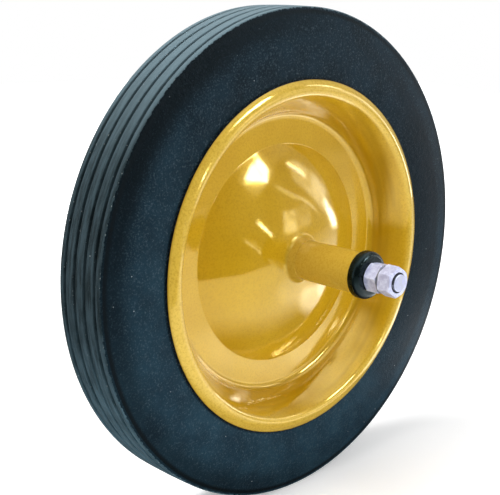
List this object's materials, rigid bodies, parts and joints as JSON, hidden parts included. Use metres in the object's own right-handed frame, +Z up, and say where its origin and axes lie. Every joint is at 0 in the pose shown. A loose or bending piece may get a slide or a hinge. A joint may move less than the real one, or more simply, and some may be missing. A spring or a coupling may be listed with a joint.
{
  "type": "semi-pneumatic wheel",
  "caption": "Barrow wheel with a ribbed semi-pneumatic rubber tyre on a domed pressed-steel rim, a welded hub tube, flanged bushes and a fixed axle with locked nuts.",
  "frame": {"origin": "the wheel's centre, on the axle's axis and the tyre's middle plane", "axes": "+Y along the axle towards the rear, the picture's visible front faces -Y, +Z up"},
  "size_m": [0.357, 0.2272, 0.357],
  "materials": {
    "tyre_rubber": "satin moulded rubber",
    "yellow_enamel": "high-gloss enamel on pressed steel",
    "black_plastic": "moulded plastic, slight sheen",
    "zinc_plate": "bright zinc plate"
  },
  "bodies": {
    "axle_set": {"axle": "zinc_plate", "inner_nut_front": "zinc_plate", "inner_nut_rear": "zinc_plate", "outer_nut_front": "zinc_plate", "outer_nut_rear": "zinc_plate"},
    "wheel": {"tyre": "tyre_rubber", "rim_front": "yellow_enamel", "rim_rear": "yellow_enamel", "hub_tube": "yellow_enamel", "bush_front": "black_plastic", "bush_rear": "black_plastic"}
  },
  "joints": [
    {"name": "wheel_spin", "type": "hinge", "parent": "axle_set", "child": "wheel", "pos_m": [0, 0, 0], "axis": [0, 1, 0], "continuous": true}
  ]
}
